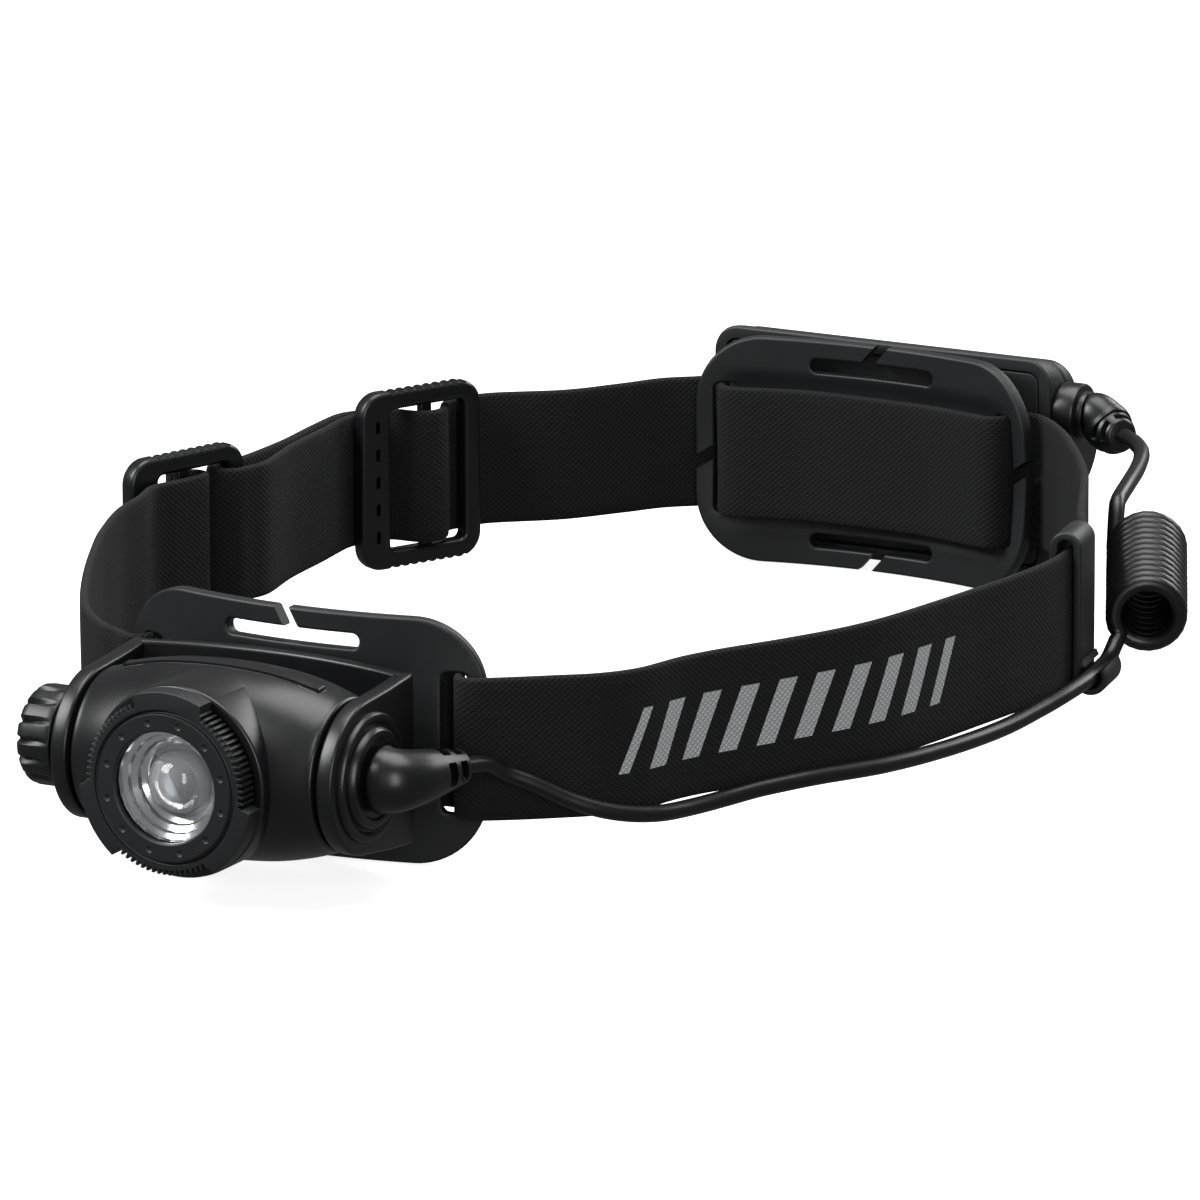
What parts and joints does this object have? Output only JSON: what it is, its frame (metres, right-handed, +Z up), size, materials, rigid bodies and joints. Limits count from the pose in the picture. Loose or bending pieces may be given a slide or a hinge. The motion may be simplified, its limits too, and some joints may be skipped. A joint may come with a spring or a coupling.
{
  "type": "headlamp",
  "caption": "Black rechargeable headlamp: tilting, focusing lamp on a bent front plate, elastic webbing headband, rear battery pack and coiled cable",
  "frame": {"origin": "under the middle of the headlamp without its cable, on the plane it stands on", "axes": "+X towards the wearer's left, +Y from the lamp to the battery pack, +Z up"},
  "size_m": [0.186, 0.2887, 0.0431],
  "materials": {
    "moulded_grey": "fine-grained moulded nylon, matte to satin",
    "lamp_black": "smooth black moulded plastic, satin",
    "webbing": "tightly woven elastic polyester webbing, 25 mm",
    "rubber": "soft matte rubber",
    "cable_black": "glossy black PVC jacket and strain reliefs",
    "aluminium": "turned aluminium",
    "steel": "plain steel screws, bushes and shaft",
    "brass": "nickel-free brass contacts",
    "circuit_green": "green solder mask",
    "phosphor": "yellow phosphor of a white LED",
    "cell_wrap": "shrink wrap of a lithium cell",
    "chrome": "bright metallised reflector",
    "clear": "clear moulded lens"
  },
  "bodies": {
    "headband": {"front_plate": "moulded_grey", "rear_plate": "moulded_grey", "strap_front_right": "webbing", "strap_rear_right": "webbing", "strap_front_left": "webbing", "strap_rear_left": "webbing", "strap_adjuster_loop": "webbing", "adjuster_buckle_front": "lamp_black", "adjuster_buckle_rear": "lamp_black", "strap_cable_clip": "moulded_grey", "lamp_bracket": "lamp_black", "bracket_screw_cable_side": "steel", "bracket_screw_knob_side": "steel", "battery_screw_cable_side": "steel", "battery_screw_knob_side": "steel", "battery_case_front": "moulded_grey", "battery_case_panel": "moulded_grey", "battery_case_rear": "moulded_grey", "battery_cell": "cell_wrap", "cell_contact_cable_side": "brass", "cell_contact_far_side": "brass", "charging_board": "circuit_green", "charging_contact": "brass", "battery_socket": "moulded_grey", "battery_plug": "cable_black", "cable_boot_front": "cable_black", "cable_front_run": "cable_black", "cable_coil": "cable_black", "cable_rear_run": "cable_black"},
    "lamp": {"lamp_housing_front": "lamp_black", "lamp_housing_rear": "lamp_black", "heat_sink": "aluminium", "led_board": "aluminium", "led": "phosphor", "driver_board": "circuit_green", "ring_seal": "rubber", "pivot_bush_cable_side": "steel", "pivot_bush_knob_side": "steel", "dimmer_switch": "moulded_grey"},
    "focus": {"focus_ring": "moulded_grey"},
    "lens": {"lens_carrier": "lamp_black", "collimator_lens": "clear", "reflector_cup": "chrome"},
    "dimmer": {"dimmer_knob": "rubber", "dimmer_shaft": "steel"}
  },
  "joints": [
    {"name": "lamp_tilt", "type": "hinge", "parent": "headband", "child": "lamp", "pos_m": [-0.0015, -0.1225, 0.0215], "axis": [1, 0, 0], "range_deg": [0, 60]},
    {"name": "focus_turn", "type": "hinge", "parent": "lamp", "child": "focus", "pos_m": [-0.0015, -0.1403, 0.0215], "axis": [0, -1, 0], "range_deg": [0, 90]},
    {"name": "lens_slide", "type": "slide", "parent": "lamp", "child": "lens", "axis": [0, 1, 0], "range_m": [0, 0.00301]},
    {"name": "dimmer_turn", "type": "hinge", "parent": "lamp", "child": "dimmer", "pos_m": [-0.0304, -0.1225, 0.0215], "axis": [-1, 0, 0], "range_deg": [0, 270]}
  ],
  "couplings": [
    {"joint": "lens_slide", "follows": "focus_turn", "m_per_rad": 0.0019099}
  ]
}
